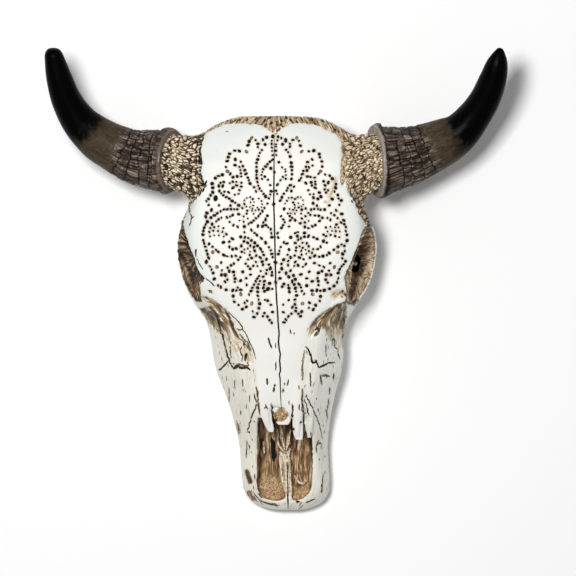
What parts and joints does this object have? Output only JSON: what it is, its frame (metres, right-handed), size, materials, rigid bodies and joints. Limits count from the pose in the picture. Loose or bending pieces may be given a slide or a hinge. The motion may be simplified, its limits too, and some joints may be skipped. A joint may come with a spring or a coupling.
{
  "type": "carved cow skull",
  "caption": "Cast and painted cow skull wall piece with dotted lace carving on the forehead, tooled horn cores, and ringed dark horns that push onto them.",
  "frame": {"origin": "middle of the whole outline, on the plane of the flat back", "axes": "+Z out of the face, +Y toward the poll and the horn tips, +X to the right as one looks at the face"},
  "size_m": [0.4995, 0.5013, 0.122],
  "materials": {
    "painted_bone": "white paint over tooled resin, with a brown wash in the carving",
    "dark_horn": "ringed brown base that runs into a smooth black satin tip"
  },
  "bodies": {
    "root": {"skull": "painted_bone", "left_horn": "dark_horn", "right_horn": "dark_horn"}
  },
  "joints": []
}
